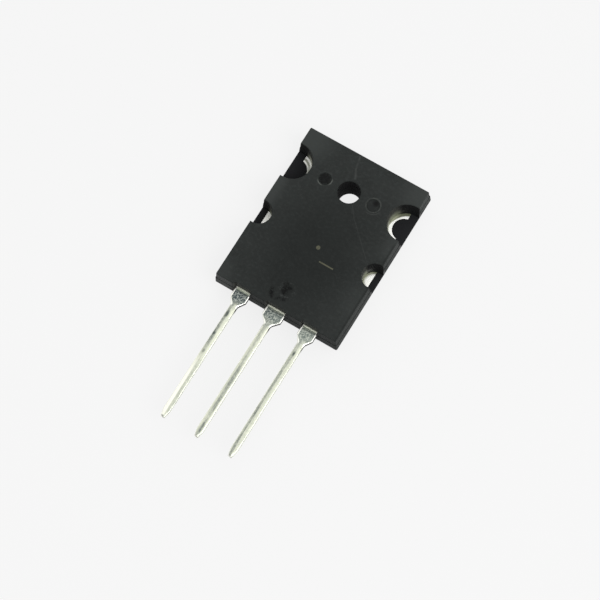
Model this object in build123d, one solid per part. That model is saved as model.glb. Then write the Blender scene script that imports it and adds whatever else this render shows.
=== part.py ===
"""Three-lead power transistor in a large moulded package, in millimetres.

Frame: the origin is on the axis of the screw hole, at the back face of the heat sink.
+X runs across the marking face to the emitter side, +Y from the leads towards the hole end,
and +Z out of the marking face. The part lies on its back, as it rests on a bench.
"""
import math
import os

from build123d import *

# ---------------------------------------------------------------- driving dimensions
# Moulded body, at its widest level (the top of the heat sink)
BODY_WIDTH = 20.0
BODY_THICKNESS = 5.0
HOLE_TO_TOP_END = 6.0
HOLE_TO_LEAD_END = 20.05
CORNER_RADIUS = 0.25
FRONT_DRAFT_DEG = 4.2
BACK_DRAFT_DEG = 15.0
PARTING_STEP = 0.05
RIM_BREAK = 0.09

# Screw hole
HOLE_RADIUS = 1.65
HOLE_LINING = 0.65

# Side notches, radii at the level of the heat sink's face
UPPER_NOTCH_RADIUS = 2.55
UPPER_NOTCH_FROM_SIDE = 0.7
UPPER_NOTCH_ABOVE_HOLE = 0.13
LOWER_NOTCH_RADIUS = 1.58
LOWER_NOTCH_FROM_SIDE = 0.6
LOWER_NOTCH_BELOW_HOLE = 8.85
NOTCH_DRAFT_DEG = 4.8

# Moulding marks on the front face
EJECTOR_OFFSET = 3.96
EJECTOR_RADIUS = 0.95
EJECTOR_GROOVE = 0.15
EJECTOR_DEPTH = 0.08
MOULD_MARK_RADIUS = 0.75
MOULD_MARK_DEPTH = 0.06
MOULD_MARK_OFFSET = -0.23
MOULD_MARK_ABOVE_LEAD_END = 3.4

# Heat sink
SINK_THICKNESS = 2.0
SINK_SIDE_WALL = 1.05
SINK_UPPER_SIDE_WALL = 1.32
SINK_STEP_BELOW_HOLE = 4.6
SINK_TOP_WALL = 1.0
SINK_LEAD_WALL = 3.05
SINK_CUT_RADIUS = 1.7
SINK_CUT_FROM_SIDE = 1.0
SINK_LEDGE = 0.5
SINK_LEDGE_HEIGHT = 0.7

# Leads
LEAD_PITCH = 5.45
LEAD_THICKNESS = 0.6
LEAD_RISE = 2.8
LEAD_LENGTH = 20.6
SIDE_LEAD_WIDTH = 2.5
CENTRE_LEAD_WIDTH = 3.0
PIN_WIDTH = 1.1
SHOULDER_LENGTH = 0.95
TAPER_LENGTH = 1.05
SHOULDER_RADIUS = 0.3
NECK_RADIUS = 0.7
TIP_LENGTH = 1.1
TIP_WIDTH = 0.55
DIE_ROLL_RADIUS = 0.12
ROOT_RELIEF_DEPTH = 0.6
ROOT_RELIEF_SIDE = 0.1

# Lead ends inside the body
BOND_PAD_WIDTH = 4.1
BOND_PAD_LENGTH = 2.2
BOND_PAD_FROM_LEAD_END = 2.5
ANCHOR_HOLE_RADIUS = 0.5
STAKE_PAD_WIDTH = 5.2
STAKE_PAD_LENGTH = 2.4
STAKE_PAD_INSET = 0.2
JOGGLE_LENGTH = 1.2
STAKE_SPACING = 3.0
STAKE_RADIUS = 0.6
STAKE_HEAD_RADIUS = 0.9
STAKE_HEAD_HEIGHT = 0.2

# Chip and its wires
DIE_SIZE = 6.5
DIE_THICKNESS = 0.3
DIE_BELOW_HOLE = 8.5
SOLDER_THICKNESS = 0.08
SOLDER_MARGIN = 0.25
BASE_WIRE_DIAMETER = 0.3
EMITTER_WIRE_DIAMETER = 0.5
EMITTER_WIRE_SPACING = 1.3
BOND_FROM_DIE_EDGE = 0.9
WIRE_LOOP_HEIGHT = 0.6
WIRE_FACETS = 8
WIRE_FOOT_LENGTH = 0.8

# ---------------------------------------------------------------- derived levels and places
HALF_WIDTH = BODY_WIDTH / 2
LEAD_END_Y = -HOLE_TO_LEAD_END
BODY_LENGTH = HOLE_TO_TOP_END + HOLE_TO_LEAD_END
BODY_CENTRE_Y = (HOLE_TO_TOP_END - HOLE_TO_LEAD_END) / 2
RIM_LEVEL = BODY_THICKNESS - RIM_BREAK
LEAD_TOP = LEAD_RISE + LEAD_THICKNESS
SINK_LEAD_Y = LEAD_END_Y + SINK_LEAD_WALL
STAKE_PAD_Y = SINK_LEAD_Y + STAKE_PAD_INSET
STAKE_TOP = SINK_THICKNESS + LEAD_THICKNESS
BOND_PAD_Y = LEAD_END_Y + BOND_PAD_FROM_LEAD_END
BOND_POINT_Y = BOND_PAD_Y + BOND_PAD_LENGTH / 3
DIE_TOP = SINK_THICKNESS + SOLDER_THICKNESS + DIE_THICKNESS
DIE_LOW_Y = -DIE_BELOW_HOLE - DIE_SIZE / 2
CORE_OVERRUN = 1.0


# ---------------------------------------------------------------- shared shapes
def block(x_low, x_high, y_low, y_high, z_low, z_high):
    """Box between two corners."""
    box = Box(x_high - x_low, y_high - y_low, z_high - z_low)
    return Pos((x_low + x_high) / 2, (y_low + y_high) / 2, (z_low + z_high) / 2) * box


def post(x, y, radius, z_low, z_high):
    """Upright cylinder between two levels."""
    return Pos(x, y, (z_low + z_high) / 2) * Cylinder(radius, z_high - z_low)


def raised(profile, z_low, z_high, draft_deg=0.0):
    """Profile raised from one level to another, its walls leaning in by the draft angle."""
    return extrude(Pos(0, 0, z_low) * profile, amount=z_high - z_low, taper=draft_deg)


def spread(height, draft_deg):
    """How far a drafted wall leans over a height."""
    return height * math.tan(math.radians(draft_deg))


# ---------------------------------------------------------------- moulded body
def body_outline(inset):
    """Rounded rectangle of the moulding, drawn in from its widest level."""
    outline = RectangleRounded(BODY_WIDTH - 2 * inset, BODY_LENGTH - 2 * inset, CORNER_RADIUS)
    return Pos(0, BODY_CENTRE_Y) * outline


def body_blank():
    """Moulding without its holes: the drafted back half, the stepped front half and its broken rim."""
    step_inset = spread(LEAD_TOP - SINK_THICKNESS, FRONT_DRAFT_DEG) + PARTING_STEP
    rim_inset = step_inset + spread(RIM_LEVEL - LEAD_TOP, FRONT_DRAFT_DEG)
    seat = Pos(0, 0, SINK_THICKNESS) * body_outline(0)
    back = extrude(seat, amount=-SINK_THICKNESS, taper=BACK_DRAFT_DEG)
    lower_front = raised(body_outline(0), SINK_THICKNESS, LEAD_TOP, FRONT_DRAFT_DEG)
    upper_front = raised(body_outline(step_inset), LEAD_TOP, RIM_LEVEL, FRONT_DRAFT_DEG)
    rim = raised(body_outline(rim_inset), RIM_LEVEL, BODY_THICKNESS, 45)
    return back + lower_front + upper_front + rim


def notch_core(side, from_side, y, radius):
    """Mould core of a side notch: half-round, open to the side, flaring towards the front face."""
    centre_x = HALF_WIDTH - from_side

    def profile(r):
        mouth = Pos(HALF_WIDTH / 2, 0) * Rectangle(HALF_WIDTH, 2 * r)
        return Pos(centre_x, y) * (Circle(r) + mouth)

    rim_radius = radius + spread(RIM_LEVEL - SINK_THICKNESS, NOTCH_DRAFT_DEG)
    wall = raised(profile(radius), SINK_THICKNESS, RIM_LEVEL, -NOTCH_DRAFT_DEG)
    rim = raised(profile(rim_radius), RIM_LEVEL, BODY_THICKNESS + RIM_BREAK, -45)
    core = wall + rim
    return core if side > 0 else mirror(core, about=Plane.YZ)


def hole_core():
    """Core of the screw hole, with a broken edge at the front face."""
    bore = post(0, 0, HOLE_RADIUS, -CORE_OVERRUN, BODY_THICKNESS + CORE_OVERRUN)
    rim = Cone(HOLE_RADIUS, HOLE_RADIUS + 2 * RIM_BREAK, 2 * RIM_BREAK)
    return bore + Pos(0, 0, BODY_THICKNESS) * rim


def ejector_mark(x):
    """Shallow round recess left by an ejector pin: a groove round a higher centre land."""
    floor = BODY_THICKNESS - EJECTOR_DEPTH
    recess = post(x, 0, EJECTOR_RADIUS, floor, BODY_THICKNESS + CORE_OVERRUN)
    land = post(x, 0, EJECTOR_RADIUS - EJECTOR_GROOVE, floor, floor + EJECTOR_DEPTH / 2)
    return recess - land


def mould_mark():
    """Shallow dished recess near the lead end, cut by a large ball."""
    ball = (MOULD_MARK_RADIUS**2 + MOULD_MARK_DEPTH**2) / (2 * MOULD_MARK_DEPTH)
    y = LEAD_END_Y + MOULD_MARK_ABOVE_LEAD_END
    return Pos(MOULD_MARK_OFFSET, y, BODY_THICKNESS - MOULD_MARK_DEPTH + ball) * Sphere(ball)


def root_relief(x, width):
    """Pocket that keeps the plastic off the front of a lead where it leaves the body."""
    half = width / 2 + ROOT_RELIEF_SIDE
    y_in = LEAD_END_Y + ROOT_RELIEF_DEPTH
    y_out = LEAD_END_Y - CORE_OVERRUN
    return block(x - half, x + half, y_out, y_in, LEAD_TOP, BODY_THICKNESS + CORE_OVERRUN)


def moulded_body(inserts):
    """Epoxy moulding, cast round the inserts so that it meets each of them face to face."""
    body = body_blank() - hole_core()
    for side in (-1, 1):
        body -= notch_core(side, UPPER_NOTCH_FROM_SIDE, UPPER_NOTCH_ABOVE_HOLE, UPPER_NOTCH_RADIUS)
        body -= notch_core(side, LOWER_NOTCH_FROM_SIDE, -LOWER_NOTCH_BELOW_HOLE, LOWER_NOTCH_RADIUS)
        body -= ejector_mark(side * EJECTOR_OFFSET)
        body -= root_relief(side * LEAD_PITCH, SIDE_LEAD_WIDTH)
    body -= root_relief(0, CENTRE_LEAD_WIDTH)
    body -= mould_mark()
    for insert in inserts:
        body -= insert
    return body


# ---------------------------------------------------------------- heat sink
def stake_places():
    """Centres of the two staking bosses, midway along the stake pad."""
    y = STAKE_PAD_Y + STAKE_PAD_LENGTH / 2
    return [(-STAKE_SPACING / 2, y), (STAKE_SPACING / 2, y)]


def sink_outline(inset):
    """Plan of the copper plate: two widths, a hole for the lining and a round cut by each upper notch."""
    step_y = -SINK_STEP_BELOW_HOLE
    low_y = SINK_LEAD_Y + inset
    top_y = HOLE_TO_TOP_END - SINK_TOP_WALL - inset
    lower_width = BODY_WIDTH - 2 * (SINK_SIDE_WALL + inset)
    upper_width = BODY_WIDTH - 2 * (SINK_UPPER_SIDE_WALL + inset)
    plate = Pos(0, (low_y + step_y) / 2) * Rectangle(lower_width, step_y - low_y)
    plate += Pos(0, (low_y + top_y) / 2) * Rectangle(upper_width, top_y - low_y)
    plate -= Circle(HOLE_RADIUS + HOLE_LINING + inset)
    for side in (-1, 1):
        plate -= Pos(side * (HALF_WIDTH - SINK_CUT_FROM_SIDE), 0) * Circle(SINK_CUT_RADIUS + inset)
    return plate


def heat_sink():
    """Copper plate, coined to a locking ledge round its back face, with two headed staking bosses."""
    plate = raised(sink_outline(SINK_LEDGE), 0, SINK_LEDGE_HEIGHT)
    plate += raised(sink_outline(0), SINK_LEDGE_HEIGHT, SINK_THICKNESS)
    for x, y in stake_places():
        plate += post(x, y, STAKE_RADIUS, SINK_THICKNESS, STAKE_TOP)
        plate += post(x, y, STAKE_HEAD_RADIUS, STAKE_TOP, STAKE_TOP + STAKE_HEAD_HEIGHT)
    return plate


# ---------------------------------------------------------------- leads
def lead_plan(width, inner_y):
    """Plan of a lead from inside the body to its tip: shoulder, necked taper, pin and narrowed tip."""
    half = width / 2
    pin = PIN_WIDTH / 2
    tip = TIP_WIDTH / 2
    shoulder_y = LEAD_END_Y - SHOULDER_LENGTH
    neck_y = shoulder_y - TAPER_LENGTH
    end_y = LEAD_END_Y - LEAD_LENGTH
    right = [(half, inner_y), (half, shoulder_y), (pin, neck_y), (pin, end_y + TIP_LENGTH), (tip, end_y)]
    left = [(-x, y) for x, y in reversed(right)]
    plan = make_face(Polyline(*right, *left, close=True))
    for level, radius in ((shoulder_y, SHOULDER_RADIUS), (neck_y, NECK_RADIUS), (end_y, 0.9 * tip)):
        corners = [vertex for vertex in plan.vertices() if abs(vertex.Y - level) < 1e-6]
        plan = fillet(corners, radius)
    return plan


def die_rolled(lead):
    """Rounds the front edges of a lead outside the body, as the punch leaves them."""
    front = lead.faces().filter_by(Axis.Z).sort_by(Axis.Z)[-1]
    edges = [edge for edge in front.edges() if edge.center().Y < LEAD_END_Y - SHOULDER_LENGTH / 3]
    return fillet(edges, DIE_ROLL_RADIUS)


def side_lead(x):
    """Base or emitter lead: stamped flat, with a bond pad and an anchor hole inside the body."""
    pad_centre_y = BOND_PAD_Y + BOND_PAD_LENGTH / 2
    plan = lead_plan(SIDE_LEAD_WIDTH, BOND_PAD_Y)
    plan += Pos(0, pad_centre_y) * Rectangle(BOND_PAD_WIDTH, BOND_PAD_LENGTH)
    plan -= Pos(0, (LEAD_END_Y + BOND_PAD_Y) / 2) * Circle(ANCHOR_HOLE_RADIUS)
    return Pos(x, 0, 0) * die_rolled(raised(plan, LEAD_RISE, LEAD_TOP))


def collector_lead():
    """Centre lead: joggled down to the heat sink and staked over its two bosses."""
    joggle_y = STAKE_PAD_Y - JOGGLE_LENGTH
    outer = die_rolled(raised(lead_plan(CENTRE_LEAD_WIDTH, joggle_y), LEAD_RISE, LEAD_TOP))
    side_view = Polyline(
        (joggle_y, LEAD_RISE),
        (joggle_y, LEAD_TOP),
        (STAKE_PAD_Y, STAKE_TOP),
        (STAKE_PAD_Y, SINK_THICKNESS),
        close=True,
    )
    joggle = extrude(Plane.YZ * make_face(side_view), amount=CENTRE_LEAD_WIDTH / 2, both=True)
    half = STAKE_PAD_WIDTH / 2
    pad = block(-half, half, STAKE_PAD_Y, STAKE_PAD_Y + STAKE_PAD_LENGTH, SINK_THICKNESS, STAKE_TOP)
    for x, y in stake_places():
        pad -= post(x, y, STAKE_RADIUS, SINK_THICKNESS, STAKE_TOP)
    return outer + joggle + pad


# ---------------------------------------------------------------- chip and wires
def centred_slab(size, z_low, thickness):
    """Square slab under the chip's centre."""
    return Pos(0, -DIE_BELOW_HOLE, z_low + thickness / 2) * Box(size, size, thickness)


def bond_wire(start, end, diameter):
    """Looped wire with a flattened foot on the chip and another on the lead's bond pad."""
    along = Vector(end[0] - start[0], end[1] - start[1], 0)
    span = along.length
    direction = along.normalized()
    upright = Plane(
        origin=(start[0], start[1], 0),
        x_dir=(direction.X, direction.Y, 0),
        z_dir=(direction.Y, -direction.X, 0),
    )
    low = DIE_TOP + diameter / 2
    high = LEAD_TOP + diameter / 2
    apex = high + WIRE_LOOP_HEIGHT
    path = upright * FilletPolyline(
        (0, low),
        (WIRE_FOOT_LENGTH, low),
        (span / 3, apex),
        (span - 2 * WIRE_FOOT_LENGTH, apex),
        (span - WIRE_FOOT_LENGTH, high),
        (span, high),
        radius=diameter,
    )
    section = RegularPolygon(diameter / 2, WIRE_FACETS)
    wire = sweep(Plane(origin=path @ 0, z_dir=path % 0) * section, path=path)
    foot = Box(WIRE_FOOT_LENGTH, diameter / 2, diameter)
    for place, level in ((WIRE_FOOT_LENGTH / 2, DIE_TOP), (span - WIRE_FOOT_LENGTH / 2, LEAD_TOP)):
        wire += upright.location * Pos(place, level + diameter / 4, 0) * foot
    return wire


def emitter_wire(row):
    """One of the two parallel emitter wires."""
    shift = (row - 0.5) * EMITTER_WIRE_SPACING
    start = (DIE_SIZE / 4 + shift, DIE_LOW_Y + BOND_FROM_DIE_EDGE)
    return bond_wire(start, (LEAD_PITCH + shift, BOND_POINT_Y), EMITTER_WIRE_DIAMETER)


# ---------------------------------------------------------------- assembly
def build():
    """All nodes by name."""
    nodes = {
        "heat_sink": heat_sink(),
        "base_lead": side_lead(-LEAD_PITCH),
        "collector_lead": collector_lead(),
        "emitter_lead": side_lead(LEAD_PITCH),
        "die_solder": centred_slab(DIE_SIZE + 2 * SOLDER_MARGIN, SINK_THICKNESS, SOLDER_THICKNESS),
        "silicon_die": centred_slab(DIE_SIZE, SINK_THICKNESS + SOLDER_THICKNESS, DIE_THICKNESS),
        "base_wire": bond_wire(
            (-DIE_SIZE / 4, DIE_LOW_Y + BOND_FROM_DIE_EDGE),
            (-LEAD_PITCH, BOND_POINT_Y),
            BASE_WIRE_DIAMETER,
        ),
        "emitter_wire_1": emitter_wire(0),
        "emitter_wire_2": emitter_wire(1),
    }
    nodes["moulded_body"] = moulded_body(list(nodes.values()))
    return nodes


os.makedirs("parts", exist_ok=True)
for name, shape in build().items():
    export_step(shape, f"parts/{name}.step")
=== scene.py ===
"""Looks of a large three-lead power transistor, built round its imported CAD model.

The CAD solids carry the shapes. This script coats the pins with solder, gives every surface its finish,
and sets the part on a pale table under soft studio light.
"""
import math

import bpy
import numpy as np
from mathutils import Matrix, Vector


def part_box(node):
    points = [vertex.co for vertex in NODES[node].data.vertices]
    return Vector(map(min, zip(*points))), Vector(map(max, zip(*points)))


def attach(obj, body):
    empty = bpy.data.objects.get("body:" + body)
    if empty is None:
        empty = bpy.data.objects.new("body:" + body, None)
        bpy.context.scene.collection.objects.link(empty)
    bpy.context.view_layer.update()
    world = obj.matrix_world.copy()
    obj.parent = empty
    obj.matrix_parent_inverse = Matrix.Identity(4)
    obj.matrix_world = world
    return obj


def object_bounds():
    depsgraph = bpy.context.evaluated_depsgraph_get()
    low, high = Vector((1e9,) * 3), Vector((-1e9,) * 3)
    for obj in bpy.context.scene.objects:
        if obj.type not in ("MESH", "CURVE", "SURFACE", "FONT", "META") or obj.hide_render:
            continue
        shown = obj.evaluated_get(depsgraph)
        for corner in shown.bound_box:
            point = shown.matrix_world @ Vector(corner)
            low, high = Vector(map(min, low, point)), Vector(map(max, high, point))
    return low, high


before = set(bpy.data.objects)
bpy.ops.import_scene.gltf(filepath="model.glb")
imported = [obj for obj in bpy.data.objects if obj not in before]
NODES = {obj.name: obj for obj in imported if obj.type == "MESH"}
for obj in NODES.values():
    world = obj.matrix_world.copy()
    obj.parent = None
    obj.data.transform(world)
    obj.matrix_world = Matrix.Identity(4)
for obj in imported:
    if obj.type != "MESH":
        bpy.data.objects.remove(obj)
cad_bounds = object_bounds()

MM = 0.001

# ---------------------------------------------------------------- places, in millimetres
# Ends and faces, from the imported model.
BODY_LOW, BODY_HIGH = (np.array(corner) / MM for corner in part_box("moulded_body"))
PIN_LOW, PIN_HIGH = (np.array(corner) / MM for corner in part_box("collector_lead"))
FACE = BODY_HIGH[2]
LEAD_END = BODY_LOW[1]
TIP = PIN_LOW[1]
LEAD_TOP = PIN_HIGH[2]
SINK_THICKNESS = 2.0
SINK_FACE = BODY_LOW[2] + SINK_THICKNESS

# Leads: a shoulder at the body, a neck, and a straight pin with a tapered tip.
LEAD_THICKNESS = 0.6
LEAD_MIDDLE = LEAD_TOP - LEAD_THICKNESS / 2
LEAD_PITCH = 5.45
SIDE_SHOULDER_HALF = 1.25
CENTRE_SHOULDER_HALF = 1.5
PIN_HALF = 0.55
TIP_HALF = 0.275
TIP_LENGTH = 1.1
SHOULDER_END = LEAD_END - 0.95
NECK_END = LEAD_END - 2.0
ROOT_ROW_HALF = 8.0

# Features of the marking face, as (x, y): their middles, and the two ends of the bar.
# Each notch has a twin on the left.
UPPER_NOTCH = (9.3, 0.13)
LOWER_NOTCH = (9.4, -8.85)
LEFT_EJECTOR = (-3.96, 0.05)
RIGHT_EJECTOR = (3.96, 0.05)
GATE_SCAR = (0.08, -16.85)
LASER_DOT = (0.56, -9.25)
LASER_BAR = ((1.76, -10.95), (3.97, -10.95))

# ---------------------------------------------------------------- camera
CAMERA_AZIMUTH = math.radians(38.19)
CAMERA_ELEVATION = math.radians(72.31)
CAMERA_ROLL = math.radians(-7.09)
CAMERA_DISTANCE = 261.7
CAMERA_AIM = Vector((1.886, -16.479, 2.524))
CAMERA_LENS = 112.4
CAMERA_CLIP = 10.0


def place_camera():
    """Looks down on the marking face from the lead end, with the leads towards the lower left."""
    back = Vector((
        math.sin(CAMERA_AZIMUTH) * math.cos(CAMERA_ELEVATION),
        -math.cos(CAMERA_AZIMUTH) * math.cos(CAMERA_ELEVATION),
        math.sin(CAMERA_ELEVATION),
    ))
    level_right = Vector((math.cos(CAMERA_AZIMUTH), math.sin(CAMERA_AZIMUTH), 0))
    level_up = back.cross(level_right)
    right = level_right * math.cos(CAMERA_ROLL) + level_up * math.sin(CAMERA_ROLL)
    up = level_up * math.cos(CAMERA_ROLL) - level_right * math.sin(CAMERA_ROLL)
    turn = Matrix((right, up, back)).transposed().to_4x4()
    data = bpy.data.cameras.new("camera")
    data.lens = CAMERA_LENS
    data.clip_start = CAMERA_CLIP * MM
    camera = bpy.data.objects.new("camera", data)
    camera.matrix_world = Matrix.Translation((CAMERA_AIM + back * CAMERA_DISTANCE) * MM) @ turn
    bpy.context.scene.collection.objects.link(camera)
    bpy.context.scene.camera = camera


# ---------------------------------------------------------------- node trees
# Sockets of Blender's Mix node, when it mixes colours.
MIX_FACTOR = 0
MIX_FIRST = 6
MIX_SECOND = 7
MIX_RESULT = 2


def feed(tree, socket, value):
    """Links the socket to another one, or sets its value."""
    if isinstance(value, bpy.types.NodeSocket):
        tree.links.new(value, socket)
    else:
        socket.default_value = value


def add_node(tree, kind, inputs=None, **settings):
    """New node with its settings, and with each input linked to a socket or set to a value."""
    node = tree.nodes.new(kind)
    for name, value in settings.items():
        setattr(node, name, value)
    for key, value in (inputs or {}).items():
        feed(tree, node.inputs[key], value)
    return node


class Finish:
    """Node tree of one finish, written as short calls. Its place is Object coordinates in millimetres.

    A mask is a socket from 0 to 1. Of the nearest lead, across_lead is the distance to the right of its
    middle, off_lead is the same without its sign, and lead_half is the half-width at its root.
    """

    def __init__(self, name):
        self.material = bpy.data.materials.new(name)
        self.material.use_nodes = True
        self.tree = self.material.node_tree
        self.shader = self.tree.nodes["Principled BSDF"]
        self.output = self.tree.nodes["Material Output"]
        coordinates = self.add("ShaderNodeTexCoord").outputs["Object"]
        self.place = self.scaled(coordinates, (1 / MM,) * 3)
        self.x, self.y, self.z = self.add("ShaderNodeSeparateXYZ", {0: self.place}).outputs
        self.aside = self.math("ABSOLUTE", self.x)
        normal = self.add("ShaderNodeNewGeometry").outputs["Normal"]
        facing = self.add("ShaderNodeSeparateXYZ", {0: normal}).outputs
        self.facing_x, self.facing_y, self.facing_z = facing
        self.across_lead = self.math("WRAP", self.x, LEAD_PITCH / 2, -LEAD_PITCH / 2)
        self.off_lead = self.math("ABSOLUTE", self.across_lead)
        middle = self.math("LESS_THAN", self.aside, LEAD_PITCH / 2)
        widening = CENTRE_SHOULDER_HALF - SIDE_SHOULDER_HALF
        self.lead_half = self.math("MULTIPLY_ADD", middle, widening, SIDE_SHOULDER_HALF)

    def add(self, kind, inputs=None, **settings):
        """New node in this finish's tree."""
        return add_node(self.tree, kind, inputs, **settings)

    def set(self, **values):
        """Sets the shader's sockets by name, with underscores for spaces."""
        for name, value in values.items():
            feed(self.tree, self.shader.inputs[name.replace("_", " ")], value)

    def scaled(self, vector, factors):
        """Vector times factors, one by one."""
        node = self.add("ShaderNodeVectorMath", {0: vector, 1: factors}, operation="MULTIPLY")
        return node.outputs[0]

    def math(self, operation, *values):
        """Result of one Math node."""
        return self.add("ShaderNodeMath", dict(enumerate(values)), operation=operation).outputs[0]

    def noise(self, size, detail=2.0, stretch=(1, 1, 1), rough=0.5):
        """Smooth noise from 0 to 1, with features about size across, drawn out by stretch."""
        vector = self.scaled(self.place, tuple(1 / (size * factor) for factor in stretch))
        inputs = {"Vector": vector, "Scale": 1.0, "Detail": detail, "Roughness": rough}
        return self.add("ShaderNodeTexNoise", inputs).outputs["Fac"]

    def step(self, value, start, end, low=0.0, high=1.0):
        """Smooth step: low where value is at start, high where it is at end."""
        inputs = {"Value": value, "From Min": start, "From Max": end, "To Min": low, "To Max": high}
        return self.add("ShaderNodeMapRange", inputs, interpolation_type="SMOOTHSTEP").outputs[0]

    def faint(self, mask, share):
        """Mask weakened to a share of itself."""
        return self.math("MULTIPLY", mask, share)

    def both(self, *masks):
        """Product of the masks, which is 1 only where all of them are."""
        result = masks[0]
        for mask in masks[1:]:
            result = self.math("MULTIPLY", result, mask)
        return result

    def either(self, *masks):
        """Greatest of the masks, which is 1 where any of them is."""
        result = masks[0]
        for mask in masks[1:]:
            result = self.math("MAXIMUM", result, mask)
        return result

    def length(self, dx, dy):
        """Square root of the sum of the two squares."""
        squares = self.math("ADD", self.math("POWER", dx, 2.0), self.math("POWER", dy, 2.0))
        return self.math("SQRT", squares)

    def turned(self, dx, dy, c, s):
        """Offset (dx, dy) as seen along and across the direction with cosine c and sine s."""
        along = self.math("MULTIPLY_ADD", dx, c, self.math("MULTIPLY", dy, s))
        across = self.math("MULTIPLY_ADD", dy, c, self.math("MULTIPLY", dx, -s))
        return along, across

    def distance(self, x, y, squeeze=1.0, turn=0.0):
        """Distance across the face from (x, y).

        Lengths along the direction at the angle turn are divided by squeeze, which draws a mark out
        in that direction.
        """
        dx = self.math("SUBTRACT", self.x, x)
        dy = self.math("SUBTRACT", self.y, y)
        if squeeze != 1.0:
            along, dy = self.turned(dx, dy, math.cos(turn), math.sin(turn))
            dx = self.math("DIVIDE", along, squeeze)
        return self.length(dx, dy)

    def beside(self, x, y, radius):
        """Mask of a round-ended slot that opens to each side of the part."""
        inwards = self.math("MAXIMUM", self.math("SUBTRACT", x, self.aside), 0.0)
        dy = self.math("SUBTRACT", self.y, y)
        return self.step(self.length(inwards, dy), radius, radius - 0.1)

    def stroke(self, start, end, half_width, soft=0.05, fade=None, high=1.0):
        """Mask of a straight stroke from start to end, as strong as high.

        It fades out over soft beyond its sides, and over fade beyond its ends.
        """
        fade = fade or soft
        length = math.dist(start, end)
        dx = self.math("SUBTRACT", self.x, start[0])
        dy = self.math("SUBTRACT", self.y, start[1])
        along, across = self.turned(dx, dy, (end[0] - start[0]) / length, (end[1] - start[1]) / length)
        mask = self.both(
            self.step(self.math("ABSOLUTE", across), half_width + soft, half_width),
            self.step(along, -fade, 0.0),
            self.step(along, length + fade, length),
        )
        return mask if high == 1.0 else self.faint(mask, high)

    def mix(self, mask, first, second):
        """Colour that goes from first to second as mask goes from 0 to 1."""
        node = self.add("ShaderNodeMix", {MIX_FACTOR: mask}, data_type="RGBA")
        for socket, colour in ((MIX_FIRST, first), (MIX_SECOND, second)):
            if isinstance(colour, tuple):
                colour = (*colour, 1.0)
            feed(self.tree, node.inputs[socket], colour)
        return node.outputs[MIX_RESULT]

    def bump(self, height, depth):
        """Bumps of the given depth in millimetres where height goes from 0 to 1."""
        inputs = {"Strength": 1.0, "Distance": depth * MM, "Height": height}
        feed(self.tree, self.shader.inputs["Normal"], self.add("ShaderNodeBump", inputs).outputs[0])


# ---------------------------------------------------------------- moulding compound
COMPOUND_DARK = (0.0100, 0.0116, 0.0108)
COMPOUND_LIGHT = (0.0144, 0.0164, 0.0154)
COMPOUND_GRAIN = (0.0228, 0.0256, 0.0244)
COMPOUND_SHEEN = (0.0272, 0.0304, 0.0289)
COMPOUND_MOTTLE = (0.0280, 0.0314, 0.0299)
COMPOUND_MIDDLE = (0.0007, 0.0015, 0.0011)
END_WALL_HIGHLIGHT = (0.035, 0.037, 0.036)
WALL_SHADE = (0.004, 0.0043, 0.0042)
ROOT_SHADE = (0.0015, 0.0016, 0.0018)
SIDE_WALL_SHADE = (0.002, 0.002, 0.002)
POCKET_PAINTED_LIGHT = (0.030, 0.031, 0.029)
CHEEK_PAINTED_LIGHT = (0.030, 0.030, 0.028)
CORED_WALL_SHADE = (0.0042, 0.0045, 0.0046)
CORED_FLOOR_SHADE = (0.0100, 0.0103, 0.0112)
CORED_LIT_WALL = (0.028, 0.029, 0.026)
METAL_REFLECTION = (0.13, 0.14, 0.095)
METAL_REFLECTION_UPPER_LEFT = (0.34, 0.35, 0.28)
DISC_TONE = (0.0005, 0.0006, 0.0006)
RING_HIGHLIGHT = (0.085, 0.090, 0.082)
SCAR_HALO = (0.045, 0.048, 0.046)
SCAR_TONE = (0.0004, 0.0006, 0.0005)
KNIT_TONE = (0.10, 0.105, 0.10)
LASER_TONE = (0.080, 0.079, 0.052)


def compound_tone(f, clouds, grain):
    """Clouds, grain and mottle, with painted sheen at the corners and along the sides, and darker in the
    middle.
    """
    # Painted sheen, lighter at the corners and along the sides of the face.
    painted_sheen = f.either(
        f.step(f.distance(-8.8, 4.2), 5.0, 0.8),
        f.step(f.distance(9.4, 4.8), 5.2, 0.5),
        f.step(f.distance(-9.6, -18.9), 3.0, 0.5, high=0.50),
        f.step(f.distance(9.6, -13.5), 4.0, 0.5, high=0.42),
        f.stroke((-9.6, -3.2), (-9.6, -6.6), 0.3, 1.8, 1.5),
        f.stroke((9.6, -3.2), (9.6, -5.0), 0.3, 1.8, 1.5, high=0.6),
    )
    tone = f.mix(f.step(clouds, 0.3, 0.7), COMPOUND_DARK, COMPOUND_LIGHT)
    tone = f.mix(f.step(grain, 0.3, 0.75, high=0.35), tone, COMPOUND_GRAIN)
    tone = f.mix(f.faint(painted_sheen, 0.8), tone, COMPOUND_SHEEN)
    mottle = f.noise(0.42, 3.0, stretch=(1.3, 1, 1), rough=0.7)
    tone = f.mix(f.step(mottle, 0.45, 0.72, high=0.40), tone, COMPOUND_MOTTLE)
    middle = f.step(f.distance(0.2, -11.0, 1.5, math.pi / 2), 10.5, 1.8)
    return f.mix(f.faint(middle, 0.46), tone, COMPOUND_MIDDLE)


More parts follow.
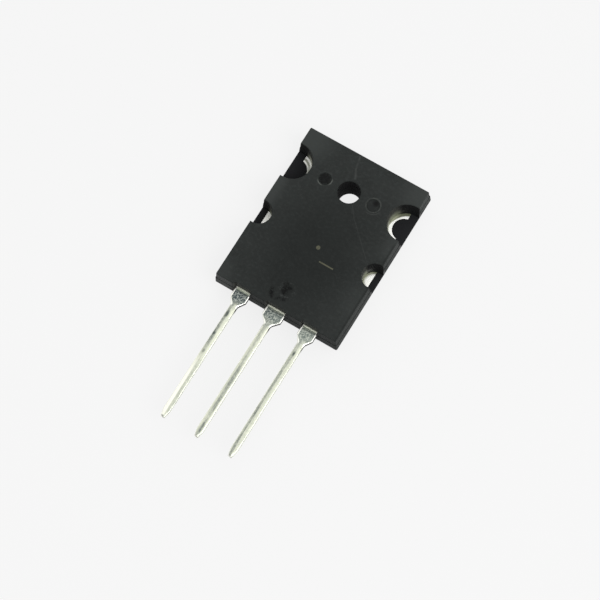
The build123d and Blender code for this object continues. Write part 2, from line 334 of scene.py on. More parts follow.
def wall_tones(f, tone, front, lead_row):
    """End wall with a painted highlight at its left corner, painted shade by the lead roots, and the
    darker right side with painted shade on its rim.
    """
    towards_leads = f.step(f.facing_y, -0.7, -0.9)
    end_wall = f.both(towards_leads, f.step(f.z, SINK_FACE, SINK_FACE + 0.1))
    lead_gap = f.step(f.math("ABSOLUTE", f.math("SUBTRACT", f.off_lead, f.lead_half)), 0.7, 0.15)
    # Painted shade on the end wall beside each lead, and faintly over its part right of the first lead.
    shaded_wall = f.either(f.step(f.x, -6.4, -5.6, high=0.3), f.both(lead_gap, lead_row))
    # Painted highlight on the left corner of the end wall.
    tone = f.mix(f.both(end_wall, f.step(f.x, -6.4, -7.2)), tone, END_WALL_HIGHLIGHT)
    tone = f.mix(f.both(end_wall, shaded_wall), tone, WALL_SHADE)

    lead_right = f.math("SUBTRACT", f.across_lead, f.lead_half)
    root_shadow = f.both(
        towards_leads,
        f.step(f.z, 1.9, 1.2),
        f.step(lead_right, 0.75, 0.35),
        f.step(lead_right, -0.6, -0.2),
    )
    tone = f.mix(root_shadow, tone, ROOT_SHADE)
    # Painted shade along the right edge of the face, towards the leads.
    rim = f.both(front, f.step(f.facing_z, 0.9, 0.98), f.step(f.x, 9.25, 9.6), f.step(f.y, -3.0, -4.0))
    tone = f.mix(f.faint(rim, 0.5), tone, WALL_SHADE)
    side_wall = f.both(f.step(f.facing_x, 0.7, 0.9), f.step(f.z, SINK_FACE + 0.75, SINK_FACE + 0.45))
    return f.mix(f.both(side_wall, f.step(f.y, -8.0, -3.0)), tone, SIDE_WALL_SHADE)


def pocket_tones(f, tone, lead_row):
    """Painted light in the relief round each lead root and on its cheeks, which lifts the shade of that
    recess.
    """
    pocket = f.both(
        f.step(f.math("SUBTRACT", f.off_lead, f.lead_half), 0.3, 0.2),
        lead_row,
        f.step(f.y, LEAD_END + 1.1, LEAD_END + 0.65),
        f.step(f.z, LEAD_TOP - 0.1, LEAD_TOP),
        f.step(f.z, FACE - 0.05, FACE - 0.12),
    )
    cheeks = f.both(pocket, f.step(f.math("ABSOLUTE", f.facing_x), 0.8, 0.95))
    return f.mix(cheeks, f.mix(pocket, tone, POCKET_PAINTED_LIGHT), CHEEK_PAINTED_LIGHT)


def cored_tones(f, tone, cored):
    """Painted shade on walls and floors in the screw hole and the notches, with painted light and the
    metal's painted reflection on some walls.
    """
    # Painted shade in the recesses.
    tone = f.mix(cored, tone, CORED_WALL_SHADE)
    tone = f.mix(f.both(cored, f.step(f.facing_z, 0.8, 0.95)), tone, CORED_FLOOR_SHADE)
    # Painted light on the notch walls that face out of the notch.
    lit_side = f.either(
        f.step(f.facing_x, 0.65, 0.95),
        f.both(f.step(f.facing_x, -0.25, -0.6), f.step(f.facing_y, 0.0, -0.6)),
    )
    lit_wall = f.both(
        cored,
        f.step(f.aside, 2.5, 3.0),
        f.step(f.aside, 9.5, 9.4),
        f.step(f.facing_z, 0.6, 0.4),
        lit_side,
        f.either(f.step(f.y, -6.0, -5.0), f.step(f.x, 5.0, 4.0), f.step(f.facing_y, -0.5, -0.25)),
    )
    tone = f.mix(lit_wall, tone, CORED_LIT_WALL)
    # Painted reflection of the plated metal at the foot of those walls.
    wall_foot = f.both(lit_wall, f.step(f.z, SINK_FACE + 2.0, SINK_FACE + 0.2))
    upper_left = f.both(f.step(f.x, -5.0, -6.0), f.step(f.y, -1.0, 0.5), f.step(f.facing_y, 0.0, -0.3))
    return f.mix(wall_foot, tone, f.mix(upper_left, METAL_REFLECTION, METAL_REFLECTION_UPPER_LEFT))


def ejector_marks(f, tone, front, speckle, uneven):
    """Dark discs with broken rings of painted highlight, and a faint outer ring of painted highlight on
    the right.

    Gives the tone and the mask of the rings.
    """
    left, right = f.distance(*LEFT_EJECTOR), f.distance(*RIGHT_EJECTOR)
    discs = f.either(
        f.step(f.math("ADD", left, uneven), 0.95, 0.70),
        f.step(f.math("ADD", right, uneven), 0.95, 0.70, high=0.30),
        f.both(f.step(f.distance(4.15, 0.45), 0.75, 0.2), f.step(right, 0.95, 0.75)),
    )
    # Painted highlights on the rings round the discs.
    left_ring = f.both(
        f.step(left, 0.93, 1.04),
        f.step(left, 1.20, 1.08),
        f.either(
            f.step(f.distance(-4.40, -0.99), 0.75, 0.2),
            f.step(f.distance(-2.81, -0.05), 0.75, 0.2, low=0.04),
        ),
    )
    right_ring = f.both(
        f.step(right, 0.92, 1.02),
        f.step(right, 1.22, 1.08),
        f.step(speckle, 0.35, 0.6, 0.1, 0.42),
    )
    outer_ring = f.both(
        f.step(right, 1.26, 1.36),
        f.step(right, 1.52, 1.42),
        f.step(f.distance(4.6, -1.2), 1.3, 0.4, high=0.22),
    )
    discs = f.both(front, discs, f.step(speckle, 0.3, 0.65, 1.0, 0.75))
    rings = f.both(front, f.either(left_ring, right_ring, outer_ring))
    tone = f.mix(discs, tone, DISC_TONE)
    return f.mix(f.faint(rings, 0.6), tone, RING_HIGHLIGHT), rings


def gate_scar(f, tone, front, speckle, uneven):
    """Irregular dark blotches where the gate broke off, with a faint pale halo.

    Gives the tone and the mask of the pits.
    """
    scar_radius = f.math("ADD", f.distance(*GATE_SCAR), uneven)
    gap = f.step(f.distance(0.75, -17.1), 0.50, 0.80, low=0.3)
    gate = f.either(
        f.both(f.step(scar_radius, 0.95, 0.62), gap),
        f.step(f.math("ADD", f.distance(-0.45, -16.1), uneven), 0.6, 0.2, high=0.7),
    )
    smear = f.step(f.math("ADD", f.distance(-1.60, -18.15, 2.2, -1.2), uneven), 0.54, 0.18)
    halo = f.both(
        f.step(scar_radius, 0.80, 1.10),
        f.step(scar_radius, 1.55, 1.10),
        f.step(speckle, 0.50, 0.66),
    )
    chips = f.either(
        f.step(f.math("ADD", f.distance(-0.45, -18.4, 1.8, 0.9), uneven), 0.38, 0.10),
        f.step(f.math("ADD", f.distance(0.40, -18.2, 1.8, 0.9), uneven), 0.38, 0.10),
    )
    broken = f.step(f.noise(0.28, 3.0, rough=0.7), 0.40, 0.54, low=0.15)
    pits = f.both(front, f.either(gate, smear, f.faint(chips, 0.75)), broken)
    tone = f.mix(f.faint(f.both(front, halo), 0.40), tone, SCAR_HALO)
    return f.mix(pits, tone, SCAR_TONE), pits


def knit_lines(f, tone, front):
    """Faint worn lines on either side of the screw hole, where the flowing compound met."""
    lines = f.either(
        f.stroke((-1.40, 5.4), (-0.90, 3.4), 0.05, 0.13),
        f.stroke((-0.90, 3.4), (-0.25, 2.15), 0.05, 0.16),
        f.stroke((1.46, -1.45), (2.64, -3.01), 0.01, 0.05),
        f.stroke((2.64, -3.01), (7.95, -8.1), 0.0, 0.05),
    )
    worn = f.step(f.noise(0.8, 2.0), 0.3, 0.6, low=0.3)
    return f.mix(f.faint(f.both(front, lines, worn), 0.16), tone, KNIT_TONE)


def laser_marks(f, tone, front):
    """One small dot and one short plain bar, burnt unevenly."""
    marks = f.both(front, f.either(
        f.step(f.distance(*LASER_DOT), 0.36, 0.24),
        f.stroke(*LASER_BAR, 0.07, 0.06),
    ))
    burnt = f.step(f.noise(0.12, 2.0), 0.3, 0.6, 0.45, 0.85)
    return f.mix(f.both(marks, burnt), tone, LASER_TONE)


def epoxy_finish():
    """Matte black moulding compound with its mould marks.

    It is roughest in the screw hole and the notches, and polished at the foot of the notches' walls.
    """
    f = Finish("epoxy")
    front = f.step(f.z, FACE - 0.2, FACE - 0.12)
    lead_row = f.step(f.aside, ROOT_ROW_HALF, ROOT_ROW_HALF - 0.4)
    clouds = f.noise(3.0, 4.0, stretch=(1.6, 1, 1), rough=0.6)
    grain = f.noise(0.11, 2.0)
    speckle = f.noise(0.30, 3.0, rough=0.7)
    uneven = f.math("MULTIPLY_ADD", speckle, 0.5, -0.25)
    cored = f.both(f.step(f.z, FACE - 0.05, FACE - 0.15), f.either(
        f.step(f.distance(0, 0), 2.1, 2.0),
        f.beside(*UPPER_NOTCH, 3.0),
        f.beside(*LOWER_NOTCH, 2.0),
    ))

    tone = compound_tone(f, clouds, grain)
    tone = wall_tones(f, tone, front, lead_row)
    tone = pocket_tones(f, tone, lead_row)
    tone = cored_tones(f, tone, cored)
    tone, rings = ejector_marks(f, tone, front, speckle, uneven)
    tone, pits = gate_scar(f, tone, front, speckle, uneven)
    tone = knit_lines(f, tone, front)
    tone = laser_marks(f, tone, front)

    wall_foot = f.both(f.step(f.aside, 2.5, 3.0), f.step(f.z, SINK_FACE + 2.4, SINK_FACE + 0.6))
    polish = f.both(cored, wall_foot, f.step(f.math("ABSOLUTE", f.facing_x), 0.3, 0.8))
    rough = f.step(clouds, 0.3, 0.7, 0.62, 0.70)
    rough = f.math("MULTIPLY_ADD", cored, 0.25, rough)
    rough = f.math("MULTIPLY_ADD", polish, -0.55, rough)
    f.set(Base_Color=tone, Roughness=rough, Specular_IOR_Level=0.12)
    relief = f.math("MULTIPLY_ADD", grain, 0.25, f.faint(f.noise(0.04, 1.0), 0.1))
    relief = f.math("MULTIPLY_ADD", rings, 1.0, relief)
    relief = f.math("MULTIPLY_ADD", pits, -1.6, relief)
    f.bump(relief, 0.02)
    return f.material


# ---------------------------------------------------------------- nickel of the heat sink
NICKEL = (1.0, 1.0, 0.97)
NICKEL_PATCH = (0.95, 0.95, 0.90)
NICKEL_LINE = (0.72, 0.71, 0.64)
NICKEL_SHADE = (0.50, 0.51, 0.46)
ARC_TONE = (0.17, 0.18, 0.14)
ARC_END_TONE = (0.34, 0.35, 0.29)
NICKEL_WALL_SHADE = (0.13, 0.14, 0.09)
NICKEL_WALL_SHADE_INNER = (0.36, 0.37, 0.27)
NICKEL_WALL_SHADE_LOWER = (0.30, 0.31, 0.22)
ARC_MIDDLE = (-9.1, 0.0)
ARC_RADIUS = 2.12


def notch_wall_shade(f, notch, radius, soft, push):
    """Mask of painted shade and reflection of the dark wall along the wall of a notch on the right, wider
    towards its upper left.
    """
    dx, dy = f.math("SUBTRACT", f.x, notch[0]), f.math("SUBTRACT", f.y, notch[1])
    away = f.math("MULTIPLY_ADD", dx, -0.62, f.math("MULTIPLY", dy, 0.79))
    from_middle = f.distance(*notch)
    reach = f.math("ADD", from_middle, f.step(away, radius * 0.4, radius * 0.85, high=push))
    nearby = f.both(f.step(f.x, 5.0, 5.5), f.step(from_middle, radius + 0.8, radius + 0.5))
    return f.both(f.step(reach, radius - soft, radius + 0.05), nearby)


def nickel_finish():
    """Satin nickel over copper, with fine drawn lines.

    It has painted shade in the upper left notch, with an arc along its wall, and painted shade and
    reflection of the dark walls in the right notches.
    """
    f = Finish("plated_copper")
    lines = f.noise(0.09, 2.0, stretch=(1, 14, 14))
    patches = f.noise(1.1, 3.0)
    tone = f.mix(f.step(patches, 0.35, 0.7), NICKEL, NICKEL_PATCH)
    tone = f.mix(f.step(lines, 0.5, 0.8, high=0.3), tone, NICKEL_LINE)
    # Painted shade on the metal in the upper left notch.
    upper_left = f.both(f.step(f.x, 1.0, -5.0), f.step(f.y, -4.5, -3.0))
    tone = f.mix(f.both(upper_left, f.step(f.y, 2.0, 0.6)), tone, NICKEL_SHADE)

    off_arc = f.math("ABSOLUTE", f.math("SUBTRACT", f.distance(*ARC_MIDDLE), ARC_RADIUS))
    arc = f.both(f.step(off_arc, 0.26, 0.06), f.step(patches, 0.3, 0.6, low=0.6))
    tone = f.mix(arc, tone, f.mix(f.step(f.y, 0.6, 1.9), ARC_TONE, ARC_END_TONE))

    # Painted shade and reflection of the dark walls on the metal of the right notches.
    wall_shades = f.either(
        notch_wall_shade(f, UPPER_NOTCH, 2.55, 0.15, 0.4),
        notch_wall_shade(f, LOWER_NOTCH, 1.58, 0.48, 0.15),
    )
    wall_shade_tone = f.mix(f.step(f.x, 7.6, 6.9), NICKEL_WALL_SHADE, NICKEL_WALL_SHADE_INNER)
    lower = f.both(f.step(f.y, -5.0, -6.0), f.step(f.x, 8.9, 8.1))
    tone = f.mix(wall_shades, tone, f.mix(lower, wall_shade_tone, NICKEL_WALL_SHADE_LOWER))
    f.set(Base_Color=tone, Metallic=0.5, Roughness=f.step(patches, 0.3, 0.7, 0.52, 0.62))
    f.bump(lines, 0.006)
    return f.material


# ---------------------------------------------------------------- tin and solder of the leads
ROOT_DARK_LEFT = (0.036, 0.050, 0.058)
ROOT_DARK_RIGHT = (0.17, 0.20, 0.18)
ROOT_LIGHT_LEFT = (0.32, 0.345, 0.315)
ROOT_LIGHT_RIGHT = (0.45, 0.48, 0.42)
SOLDER_PALE = (0.70, 0.715, 0.585)
SOLDER_DRAWN = (0.54, 0.565, 0.47)
SOLDER_PITTED = (0.40, 0.42, 0.34)
SOLDER_GLEAM = (0.90, 0.90, 0.80)
SOLDER_DARK_REFLECTION = (0.155, 0.175, 0.160)
SOLDER_FLECK = (0.065, 0.080, 0.076)
SOLDER_TIP = (0.24, 0.25, 0.22)
STRIP_LEFT = (0.42, 0.47, 0.37)
STRIP_RIGHT = (0.22, 0.25, 0.20)
STRIP_INNER_END = (0.97, 1.0, 0.84)
BODY_LINE = (0.08, 0.09, 0.08)
LEFT_EDGE_REFLECTION = (0.97, 0.97, 0.90)
RIGHT_EDGE_REFLECTION_FAR = (0.50, 0.51, 0.45)
RIGHT_EDGE_REFLECTION_MIDDLE = (0.36, 0.37, 0.31)
RIGHT_EDGE_REFLECTION_NEAR = (0.97, 0.97, 0.92)
UPRIGHT_SIDE_REFLECTION = (0.97, 0.97, 0.93)
BARE_CUT_SHADE = (0.012, 0.012, 0.011)
# Angle from +X to the direction of the leads, in radians.
DOWN_THE_LEAD = 1.57


def root_tone(f, mottle):
    """Mottled grey of the roots, darkest on the left lead."""
    shine = f.step(f.x, -8.0, 8.0)
    dark = f.mix(shine, ROOT_DARK_LEFT, ROOT_DARK_RIGHT)
    light = f.mix(shine, ROOT_LIGHT_LEFT, ROOT_LIGHT_RIGHT)
    return f.mix(f.step(mottle, 0.42, 0.62), dark, light)


def pin_tone(f, drawn):
    """Pale solder with drawn lines and pits, dull grey painted reflections down the pins, a painted
    highlight, a few dark flecks and dull tips.
    """
    pitted = f.noise(0.14, 3.0, stretch=(1, 2, 1), rough=0.7)
    blotches = f.noise(0.9, 2.0, stretch=(1, 4, 1))
    # Painted reflections of the dark surroundings down the middle of each pin, broken up by the solder's
    # pits.
    dark_reflections = f.either(
        f.stroke((-5.80, -23.0), (-5.74, -27.0), 0.12, 0.30, 4.5, high=0.9),
        f.stroke((-5.20, -34.0), (-5.08, -40.0), 0.12, 0.30, 4.5, high=0.45),
        f.stroke((-0.10, -22.5), (0.0, -28.0), 0.12, 0.30, 3.0, high=0.50),
        f.stroke((0.02, -30.5), (0.02, -34.0), 0.10, 0.30, 5.0, high=0.82),
        f.stroke((0.0, -36.0), (0.04, -39.5), 0.10, 0.30, 3.0, high=0.7),
        f.stroke((0.12, -34.8), (0.05, -38.0), 0.03, 0.14, 1.0, high=0.9),
        f.stroke((0.0, -38.4), (0.05, -39.7), 0.05, 0.18, 0.6),
        f.stroke((5.26, -22.0), (5.24, -25.0), 0.12, 0.26, 2.5, high=0.75),
        f.stroke((5.22, -27.0), (5.16, -34.0), 0.10, 0.26, 3.0, high=0.7),
        f.stroke((5.24, -33.0), (5.22, -38.0), 0.04, 0.16, 1.5, high=0.95),
        f.stroke((5.22, -37.4), (5.34, -40.2), 0.10, 0.20, 1.2, high=0.75),
        f.stroke((5.64, -24.0), (5.64, -39.5), 0.12, 0.25, 3.0, high=0.25),
    )
    dark_reflections = f.both(
        dark_reflections,
        f.step(blotches, 0.30, 0.5, low=0.55),
        f.step(pitted, 0.30, 0.58, low=0.45),
    )
    tone = f.mix(f.step(drawn, 0.36, 0.66), SOLDER_PALE, SOLDER_DRAWN)
    tone = f.mix(f.step(pitted, 0.52, 0.68, high=0.45), tone, SOLDER_PITTED)
    # Painted highlight low on the left pin.
    tone = f.mix(f.stroke((-5.76, -34.0), (-5.68, -41.0), 0.14, 0.25, 4.5), tone, SOLDER_GLEAM)
    tone = f.mix(dark_reflections, tone, SOLDER_DARK_REFLECTION)
    flecks = f.either(
        f.step(f.distance(-5.62, -23.6, 2.4, DOWN_THE_LEAD), 0.34, 0.10),
        f.step(f.distance(-5.74, -26.9, 1.5, DOWN_THE_LEAD), 0.30, 0.05),
        f.step(f.distance(-5.60, -29.8, 1.8, DOWN_THE_LEAD), 0.26, 0.05, high=0.6),
        f.step(f.distance(5.38, -23.8, 2.2, DOWN_THE_LEAD), 0.28, 0.05),
    )
    tone = f.mix(f.both(flecks, f.step(pitted, 0.25, 0.5, 0.6, 0.9)), tone, SOLDER_FLECK)
    return f.mix(f.step(f.y, TIP + 0.40, TIP + 0.15), tone, SOLDER_TIP)


def pocket_strip(f, tone):
    """Clean strip of a lead in its relief, brightest where it enters the plastic.

    A dark line runs across the lead at the end of the body.
    """
    strip = f.step(f.y, LEAD_END + 0.16, LEAD_END + 0.24)
    strip_tone = f.mix(f.step(f.x, -4.5, -1.0), STRIP_LEFT, STRIP_RIGHT)
    strip_tone = f.mix(f.step(f.y, LEAD_END + 0.32, LEAD_END + 0.42), strip_tone, STRIP_INNER_END)
    tone = f.mix(f.faint(strip, 0.9), tone, strip_tone)
    line = f.both(
        f.step(f.y, LEAD_END - 0.05, LEAD_END + 0.02),
        f.step(f.y, LEAD_END + 0.2, LEAD_END + 0.1),
    )
    return f.mix(f.faint(line, 0.6), tone, BODY_LINE)


def edge_tones(f, tone):
    """Painted reflections on the rolled edges of the flats and on the upright sides, and the dark bare
    cut right of each root under painted shade.
    """
    level = f.math("ABSOLUTE", f.facing_z)
    to_right = f.step(f.across_lead, -0.1, 0.1)
    half = f.step(f.y, SHOULDER_END, NECK_END, f.lead_half, PIN_HALF)
    edge = f.math("MULTIPLY_ADD", to_right, 0.06, f.math("SUBTRACT", half, f.off_lead))
    near_body = f.step(f.y, LEAD_END - 2.4, LEAD_END - 1.9)
    # Painted highlight along the edges of the shoulders near the body.
    edge_highlight = f.both(f.step(edge, 0.30, 0.16), near_body, f.step(level, 0.5, 0.8))
    rolled = f.both(f.step(level, 0.975, 0.92), f.step(level, 0.15, 0.3))
    # Painted reflections down the right edges, bright near the body and darker further down.
    to_middle = f.step(f.y, LEAD_END - 4.5, LEAD_END - 3.0)
    right_edge_reflection = f.mix(to_middle, RIGHT_EDGE_REFLECTION_FAR, RIGHT_EDGE_REFLECTION_MIDDLE)
    right_edge_reflection = f.mix(f.step(f.y, LEAD_END - 2.6, NECK_END), right_edge_reflection, RIGHT_EDGE_REFLECTION_NEAR)
    edge_reflection = f.mix(to_right, LEFT_EDGE_REFLECTION, right_edge_reflection)
    tone = f.mix(f.faint(f.either(rolled, edge_highlight), 0.95), tone, edge_reflection)
    # Painted reflection on the upright sides.
    tone = f.mix(f.step(level, 0.25, 0.1), tone, UPRIGHT_SIDE_REFLECTION)
    # The bare cut side right of each root, darkened further by painted shade.
    cut = f.both(
        to_right,
        f.step(level, 0.97, 0.9),
        f.step(f.z, LEAD_TOP - 0.01, LEAD_TOP - 0.06),
        f.step(f.y, LEAD_END - 3.3, LEAD_END - 2.5),
    )
    return f.mix(f.faint(cut, 0.97), tone, BARE_CUT_SHADE)


def lead_tone(f):
    """Colour of a lead down its length: root, ragged change to the pin, relief strip and edges.

    Gives the colour, the root's mottle and the lines drawn along the pin.
    """
    mottle = f.noise(0.24, 3.0, rough=0.7)
    drawn = f.noise(0.16, 3.0, stretch=(1, 16, 2), rough=0.6)
    ragged = f.math("MULTIPLY_ADD", f.noise(0.5, 2.0), 1.6, f.y)
    down = f.step(ragged, LEAD_END - 0.1, LEAD_END - 2.2)
    tone = f.mix(down, root_tone(f, mottle), pin_tone(f, drawn))
    return edge_tones(f, pocket_strip(f, tone)), mottle, drawn


def matte_tin_finish():
    """Plating of a lead near the body, with bare cut sides under painted shade."""
    f = Finish("tinned_lead")
    tone, mottle, _ = lead_tone(f)
    f.set(Base_Color=tone, Metallic=1.0, Roughness=f.step(mottle, 0.3, 0.7, 0.40, 0.52))
    f.bump(mottle, 0.015)
    return f.material


def solder_coat_finish():
    """Hot-dipped solder, drawn along the pins."""
    f = Finish("solder_coat")
    tone, mottle, drawn = lead_tone(f)
    f.set(Base_Color=tone, Metallic=1.0, Roughness=f.step(drawn, 0.3, 0.7, 0.30, 0.45))
    f.bump(f.math("MULTIPLY_ADD", mottle, 0.3, drawn), 0.012)
    return f.material


def plain_metal_finish(name, colour, dull, roughness, grain_size):
    """Metal of the sealed pieces, with fine grain in its colour and surface."""
    f = Finish(name)
    grain = f.noise(grain_size, 2.0)
    f.set(
        Base_Color=f.mix(f.step(grain, 0.3, 0.7), colour, dull),
        Metallic=1.0,
        Roughness=f.step(grain, 0.3, 0.7, roughness, roughness + 0.12),
    )
    f.bump(grain, 0.004)
    return f.material


# ---------------------------------------------------------------- solder coats of the pins
# Lengths in millimetres. The side crown is a share of the crown on the flats.
COAT_ROWS = 420
COAT_THICKNESS = 0.015
COAT_CROWN = 0.035
COAT_SIDE_CROWN = 0.4
COAT_CORNER = 0.16
COAT_LEAST_HALF = 0.02
COAT_SWELL = 0.006
COAT_RIPPLE = 0.0025
COAT_WAVES = 10
ARC_POINTS = 7
FLAT_POINTS = 9
SIDE_POINTS = 3
DIP_LINE = 1.15
DIP_RAGGEDNESS = 0.16
DIP_WAVES = 6
DIP_RISE = 0.5
DIP_OVERLAP = 0.6
TIP_ROUNDING = 0.12
TIP_BULGE = 0.004
PLAN_POINTS = 2201
PLAN_WINDOW = 41
INSIDE_BODY = LEAD_END + 1


def mesh_piece(name, points, faces, finish):
    """Closed smooth mesh from points in millimetres, riding on the part."""
    mesh = bpy.data.meshes.new(name)
    mesh.from_pydata((points * MM).tolist(), [], faces)
    mesh.polygons.foreach_set("use_smooth", np.ones(len(mesh.polygons), dtype=bool))
    mesh.materials.append(finish)
    piece = bpy.data.objects.new(name, mesh)
    bpy.context.scene.collection.objects.link(piece)
    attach(piece, "root")


def tube_faces(rows, columns):
    """Quads between neighbouring rings, joined round, and a fan round the pole at each end."""
    ring = np.arange(columns)
    after = np.roll(ring, -1)
    start = np.arange(rows - 1)[:, None] * columns
    following = start + columns
    quads = np.stack((start + ring, start + after, following + after, following + ring), axis=-1)
    first_pole, last_pole = rows * columns, rows * columns + 1
    last_ring = (rows - 1) * columns
    low = np.stack((np.full(columns, first_pole), after, ring), axis=-1)
    high = np.stack((np.full(columns, last_pole), last_ring + ring, last_ring + after), axis=-1)
    return quads.reshape(-1, 4).tolist() + low.tolist() + high.tolist()


def waves(rng, count, *terms):
    """Sum of sine waves with random phases. A term is a coordinate array and its range of wave counts."""
    total = 0.0
    for _ in range(count):
        phase = rng.uniform(0, 2 * np.pi)
        for coordinate, (low, high) in terms:
            phase = phase + coordinate * rng.uniform(low, high) * rng.choice((-1, 1))
        total = total + np.sin(phase)
    return total / np.sqrt(count)


def section():
    """Unit section of a coated pin: a rectangle with a quarter circle at each corner.

    Gives four arrays round the section: the share of the flat across, the share of the flat up, and the
    cosine and sine of the corner's angle, which stay the same along a flat.
    """
    arc = np.linspace(0, np.pi / 2, ARC_POINTS)
    across, up, cosine, sine = [], [], [], []
    corners = ((1, 1), (-1, 1), (-1, -1), (1, -1))
    for quarter, (cx, cz) in enumerate(corners):
        angle = arc + quarter * np.pi / 2
        across.append(np.full(len(arc), float(cx)))
        up.append(np.full(len(arc), float(cz)))
        cosine.append(np.cos(angle))
        sine.append(np.sin(angle))
        nx, nz = corners[(quarter + 1) % len(corners)]
        count = FLAT_POINTS if cx != nx else SIDE_POINTS
        share = np.linspace(0, 1, count + 2)[1:-1]
        across.append(cx + (nx - cx) * share)
        up.append(cz + (nz - cz) * share)
        cosine.append(np.full(count, np.cos(angle[-1])))
        sine.append(np.full(count, np.sin(angle[-1])))
    return [np.concatenate(part) for part in (across, up, cosine, sine)]


def lead_half_width(y, shoulder_half):
    """Half-width of a lead at y: straight lines from tip to pin, neck and shoulder, smoothed."""
    plan_y = [TIP, TIP + TIP_LENGTH, NECK_END, SHOULDER_END, INSIDE_BODY]
    plan_half = [TIP_HALF, PIN_HALF, PIN_HALF, shoulder_half, shoulder_half]
    fine = np.linspace(TIP, INSIDE_BODY, PLAN_POINTS)
    window = np.hanning(PLAN_WINDOW)
    padded = np.pad(np.interp(fine, plan_y, plan_half), PLAN_WINDOW // 2, mode="edge")
    return np.interp(y, fine, np.convolve(padded, window / window.sum(), mode="valid"))


def solder_coat(name, centre, shoulder_half, finish, seed):
    """Solder on the outer part of a lead.

    Rings of a rounded rectangle are carried along the lead. A ring's half-width follows the lead's plan,
    its flats are crowned by a parabola, and its thickness is a base plus drawn-out waves. The thickness
    rises from below the metal at a ragged dip line. At the tip the ring shrinks to half its size along a
    quarter ellipse, and a pole closes it.
    """
    rng = np.random.default_rng(seed)
    across, up, cosine, sine = section()
    start = LEAD_END - DIP_LINE + DIP_OVERLAP
    share = np.linspace(0, 1, COAT_ROWS)
    y = (start + (TIP - start) * share)[:, None]
    half = lead_half_width(y, shoulder_half)

    around = np.arctan2(sine * 0.5 + up, cosine * 0.5 + across)[None, :]
    swell = waves(rng, COAT_WAVES, (y, (0.4, 2.2)), (around, (0.5, 4.0)))
    ripple = waves(rng, COAT_WAVES, (y, (3.0, 9.0)), (around, (1.0, 5.0)))
    ragged = DIP_RAGGEDNESS * waves(rng, DIP_WAVES, (around, (1.0, 4.0)))
    rise = np.clip((LEAD_END - DIP_LINE + ragged - y) / DIP_RISE, -1, 1)
    rise = np.sin(rise * np.pi / 2)
    coated = np.clip(rise, 0, 1)
    coat = COAT_THICKNESS * rise + coated * (COAT_SWELL * swell + COAT_RIPPLE * ripple)
    crown = COAT_CROWN * coated

    into_tip = np.clip((TIP + TIP_ROUNDING - y) / TIP_ROUNDING, 0, 1)
    closing = np.sqrt(np.clip(1 - into_tip ** 2, 0, 1)) * 0.5 + 0.5
    flat_half = np.maximum(half * closing - COAT_CORNER, COAT_LEAST_HALF)
    flat_up = LEAD_THICKNESS / 2 * closing - COAT_CORNER
    x = across * flat_half + (COAT_CORNER + coat) * cosine
    z = up * flat_up + (COAT_CORNER + coat) * sine
    z = z + crown * (1 - across ** 2) * sine
    x = x + COAT_SIDE_CROWN * crown * (1 - up ** 2) * cosine
    rings = np.stack((x + centre, np.broadcast_to(y, x.shape), z + LEAD_MIDDLE), axis=-1).reshape(-1, 3)
    poles = [(centre, start, LEAD_MIDDLE), (centre, TIP - TIP_BULGE, LEAD_MIDDLE)]
    faces = tube_faces(COAT_ROWS, len(across))
    mesh_piece(name, np.vstack((rings, poles)), faces, finish)


# ---------------------------------------------------------------- table and light
TABLE_HALF = 9000.0
TABLE_LINES = 9
TABLE_DIFFUSE = 0.8
TABLE_SHADE = 0.07
TABLE_GLOW = 0.82
DOME_LEAN = (0.1, 0.4, 0.0)
DOME_SIDE = 0.82
DOME_TOP = 1.15
DOME_SIDE_HEIGHT = 0.1
DOME_TOP_HEIGHT = 0.85
SOFTBOX_PLACE = (290, -60, 340)
SOFTBOX_SIZE = 300
SOFTBOX_WATTS = 1.4
SOFTBOX_AIM = (0, -15, 2)


def pale_table():
    """Level grid under the part. Its diffuse share keeps the part's shadow."""
    lines = np.linspace(-TABLE_HALF, TABLE_HALF, TABLE_LINES)
    gx, gy = np.meshgrid(lines, lines)
    points = np.stack((gx, gy, np.full_like(gx, cad_bounds[0][2] / MM)), axis=-1).reshape(-1, 3) * MM
    cells = np.arange(TABLE_LINES - 1)
    corner = (cells[:, None] * TABLE_LINES + cells).reshape(-1)
    faces = np.stack((corner, corner + 1, corner + TABLE_LINES + 1, corner + TABLE_LINES), axis=-1)
    mesh = bpy.data.meshes.new("table")
    mesh.from_pydata(points.tolist(), [], faces.tolist())
    table = bpy.data.objects.new("table", mesh)
    bpy.context.scene.collection.objects.link(table)

    f = Finish("pale_table")
    paths = f.add("ShaderNodeLightPath").outputs
    seen = f.either(paths["Is Camera Ray"], paths["Is Glossy Ray"], paths["Is Transmission Ray"])
    plain = f.add("ShaderNodeBsdfDiffuse", {"Color": (TABLE_DIFFUSE,) * 3 + (1,)}).outputs[0]
    shade = f.add("ShaderNodeBsdfDiffuse", {"Color": (TABLE_SHADE,) * 3 + (1,)}).outputs[0]
    glow = f.add("ShaderNodeEmission", {"Color": (TABLE_GLOW,) * 3 + (1,), "Strength": 1.0}).outputs[0]
    shown = f.add("ShaderNodeAddShader", {0: shade, 1: glow}).outputs[0]
    choice = f.add("ShaderNodeMixShader", {0: seen, 1: plain, 2: shown}).outputs[0]
    feed(f.tree, f.output.inputs["Surface"], choice)
    f.tree.nodes.remove(f.shader)
    mesh.materials.append(f.material)


def key_softbox():
    """Square soft light, aimed at the middle of the part."""
    data = bpy.data.lights.new("key_softbox", "AREA")
    data.shape = "SQUARE"
    data.size = SOFTBOX_SIZE * MM
    data.energy = SOFTBOX_WATTS
    light = bpy.data.objects.new("key_softbox", data)
    place = Vector(SOFTBOX_PLACE) * MM
    aim = Vector(SOFTBOX_AIM) * MM
    turn = (place - aim).to_track_quat("Z", "Y").to_matrix().to_4x4()
    light.matrix_world = Matrix.Translation(place) @ turn
    bpy.context.scene.collection.objects.link(light)


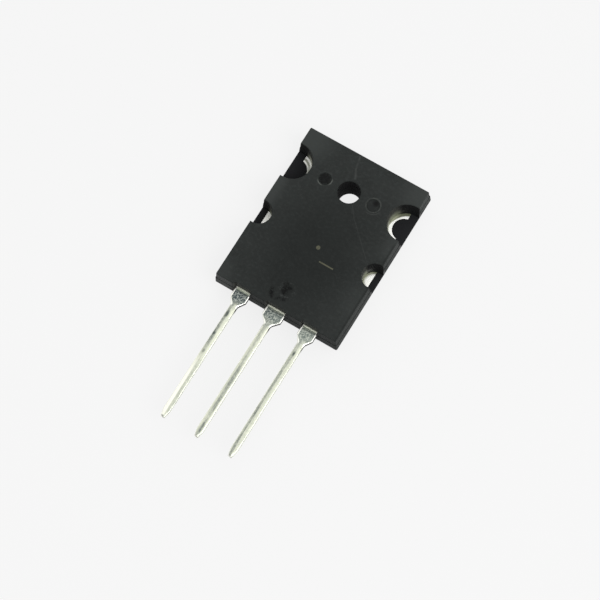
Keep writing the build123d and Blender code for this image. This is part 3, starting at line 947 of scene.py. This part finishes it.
def studio_dome():
    """World light that grows from the sides to the top and leans towards the hole end."""
    world = bpy.data.worlds.new("studio")
    world.use_nodes = True
    tree = world.node_tree
    direction = add_node(tree, "ShaderNodeTexCoord").outputs["Generated"]
    height = add_node(tree, "ShaderNodeSeparateXYZ", {0: direction}).outputs[2]
    ramp = {0: height, 1: DOME_SIDE_HEIGHT, 2: DOME_TOP_HEIGHT, 3: DOME_SIDE, 4: DOME_TOP}
    level = add_node(tree, "ShaderNodeMapRange", ramp).outputs[0]
    leaning = {0: direction, 1: DOME_LEAN}
    lean = add_node(tree, "ShaderNodeVectorMath", leaning, operation="DOT_PRODUCT").outputs["Value"]
    brighter = {0: lean, 1: level, 2: level}
    light = add_node(tree, "ShaderNodeMath", brighter, operation="MULTIPLY_ADD").outputs[0]
    feed(tree, tree.nodes["Background"].inputs["Color"], light)
    bpy.context.scene.world = world


# ---------------------------------------------------------------- the dressed part
COAT_SEEDS = {"base_lead": 3, "collector_lead": 5, "emitter_lead": 8}
CHIP_TONES = ((0.45, 0.46, 0.48), (0.36, 0.37, 0.40))
DIE_SOLDER_TONES = ((0.50, 0.50, 0.50), (0.38, 0.38, 0.38))
BOND_WIRE_TONES = ((0.82, 0.82, 0.82), (0.70, 0.70, 0.70))


def dress_nodes():
    """Puts each CAD node's finish into its slots."""
    tin = matte_tin_finish()
    wire = plain_metal_finish("bond_wire", *BOND_WIRE_TONES, 0.25, 0.1)
    finishes = {
        "moulded_body": epoxy_finish(),
        "heat_sink": nickel_finish(),
        "base_lead": tin,
        "collector_lead": tin,
        "emitter_lead": tin,
        "silicon_die": plain_metal_finish("chip", *CHIP_TONES, 0.25, 0.5),
        "die_solder": plain_metal_finish("die_solder", *DIE_SOLDER_TONES, 0.5, 0.2),
        "base_wire": wire,
        "emitter_wire_1": wire,
        "emitter_wire_2": wire,
    }
    for name, finish in finishes.items():
        for slot in NODES[name].material_slots:
            slot.material = finish


def coat_pins():
    """Gives each lead its own solder coat, at the middle of that lead."""
    solder = solder_coat_finish()
    for name, seed in COAT_SEEDS.items():
        low, high = (np.array(corner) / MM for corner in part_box(name))
        centre = (low[0] + high[0]) / 2
        shoulder_half = CENTRE_SHOULDER_HALF if name == "collector_lead" else SIDE_SHOULDER_HALF
        solder_coat(name.replace("lead", "pin_solder"), centre, shoulder_half, solder, seed)


bpy.context.scene.view_settings.view_transform = "Standard"
place_camera()
studio_dome()
key_softbox()
pale_table()
dress_nodes()
coat_pins()
